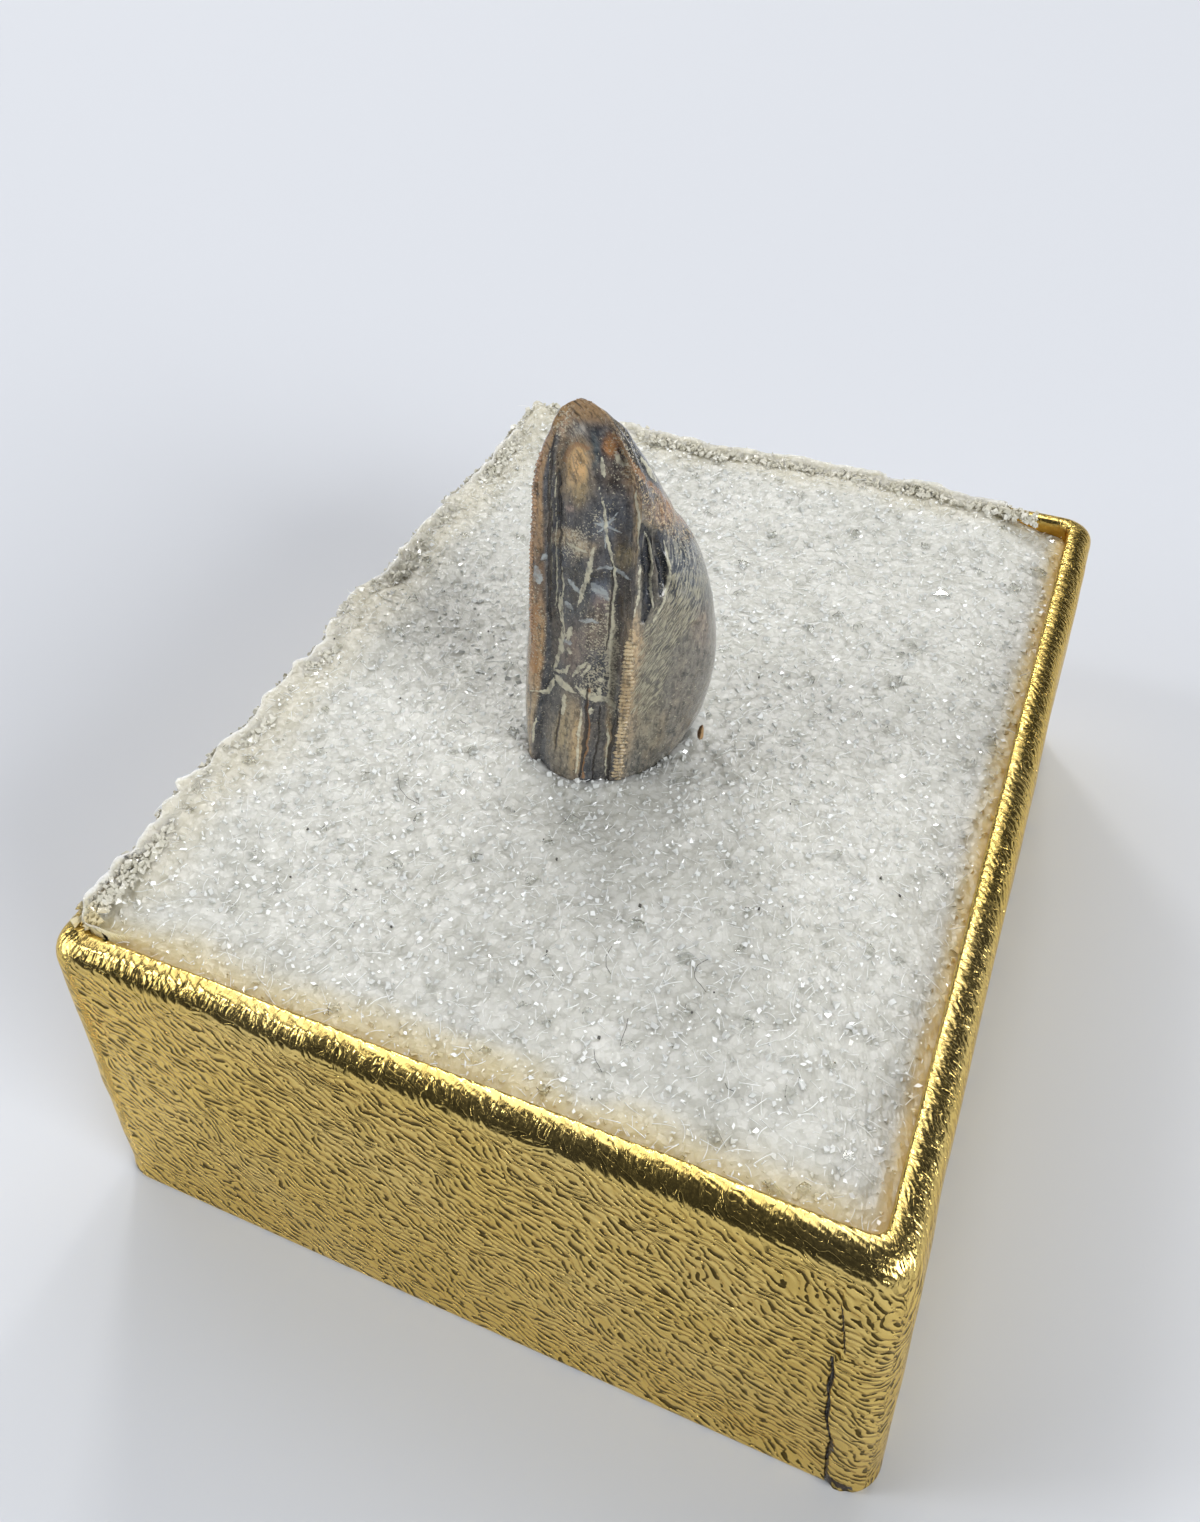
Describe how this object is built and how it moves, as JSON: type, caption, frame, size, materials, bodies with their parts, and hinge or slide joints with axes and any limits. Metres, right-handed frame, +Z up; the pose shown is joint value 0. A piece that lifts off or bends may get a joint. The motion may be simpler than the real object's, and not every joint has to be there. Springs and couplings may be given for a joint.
{
  "type": "fossil dinosaur tooth in a display box",
  "caption": "Fossil theropod tooth with serrated edges, standing upright in the white filling of a small open box wrapped in gold foil.",
  "frame": {"origin": "centre of the box's base, on the surface that it stands on", "axes": "+Z up, +Y along the box's long side, +X along its short side; the tooth's flat face looks towards -Y"},
  "size_m": [0.0412, 0.054, 0.04],
  "materials": {
    "gold_foil": "bright embossed gold foil paper",
    "white_filling": "white, glassy, fibrous and slightly see-through",
    "fossil_enamel": "polished dark slate and brown mineralised enamel",
    "brown_chip": "matt brown mineral splinter"
  },
  "bodies": {
    "root": {"box_tray": "gold_foil", "filling": "white_filling", "tooth": "fossil_enamel", "chip": "brown_chip"}
  },
  "joints": []
}
